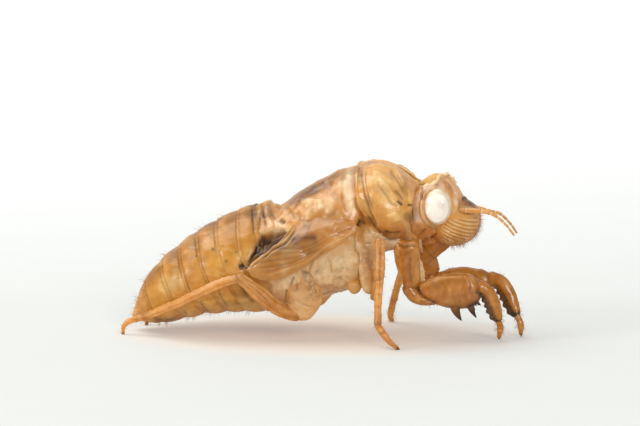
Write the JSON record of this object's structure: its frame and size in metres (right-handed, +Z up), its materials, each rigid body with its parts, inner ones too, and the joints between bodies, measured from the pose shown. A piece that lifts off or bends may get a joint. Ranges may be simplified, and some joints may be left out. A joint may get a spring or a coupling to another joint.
{
  "type": "cicada shell",
  "caption": "Empty cast skin of a full-grown cicada nymph, split along the back and standing on its dried legs.",
  "frame": {"origin": "on the floor, under the middle of the shell's bounding box", "axes": "+X towards the head, +Y towards the animal's left side, +Z up"},
  "size_m": [0.0361, 0.0162, 0.0158],
  "materials": {
    "abdomen_skin": "thin dry golden-brown cuticle, satin, lit through, darker along the back",
    "thorax_skin": "thin dry pale tan cuticle, creased, with dust",
    "collar_skin": "thin dry amber-brown cuticle, glossy, with ridges and dents",
    "head_skin": "thin dry brown cuticle, glossy, torn pale at the crown",
    "face_skin": "thin dry brown cuticle with darker curved stripes, glossy",
    "eye_cap": "clear pearly cap, very glossy",
    "antenna_skin": "thin dry brown cuticle with pale joints",
    "wing_pad_skin": "thin dry brown cuticle, folded and veined, satin",
    "digging_leg_skin": "dry red-brown cuticle, glossy, dark at the spines and claws",
    "walking_leg_skin": "dry pinkish tan cuticle, ribbed lengthwise"
  },
  "bodies": {
    "root": {"abdomen": "abdomen_skin", "thorax": "thorax_skin", "pronotum": "collar_skin", "head": "head_skin", "beak": "head_skin", "face": "face_skin", "eye_left": "eye_cap", "antenna_left": "antenna_skin", "forewing_pad_left": "wing_pad_skin", "hindwing_pad_left": "wing_pad_skin", "fore_coxa_left": "digging_leg_skin", "fore_trochanter_left": "digging_leg_skin", "fore_femur_left": "digging_leg_skin", "fore_tibia_left": "digging_leg_skin", "fore_tarsus_left": "digging_leg_skin", "mid_coxa_left": "walking_leg_skin", "mid_femur_left": "walking_leg_skin", "mid_tibia_left": "walking_leg_skin", "mid_tarsus_left": "walking_leg_skin", "hind_coxa_left": "walking_leg_skin", "hind_femur_left": "walking_leg_skin", "hind_tibia_left": "walking_leg_skin", "hind_tarsus_left": "walking_leg_skin", "eye_right": "eye_cap", "antenna_right": "antenna_skin", "forewing_pad_right": "wing_pad_skin", "hindwing_pad_right": "wing_pad_skin", "fore_coxa_right": "digging_leg_skin", "fore_trochanter_right": "digging_leg_skin", "fore_femur_right": "digging_leg_skin", "fore_tibia_right": "digging_leg_skin", "fore_tarsus_right": "digging_leg_skin", "mid_coxa_right": "walking_leg_skin", "mid_femur_right": "walking_leg_skin", "mid_tibia_right": "walking_leg_skin", "mid_tarsus_right": "walking_leg_skin", "hind_coxa_right": "walking_leg_skin", "hind_femur_right": "walking_leg_skin", "hind_tibia_right": "walking_leg_skin", "hind_tarsus_right": "walking_leg_skin"}
  },
  "joints": []
}
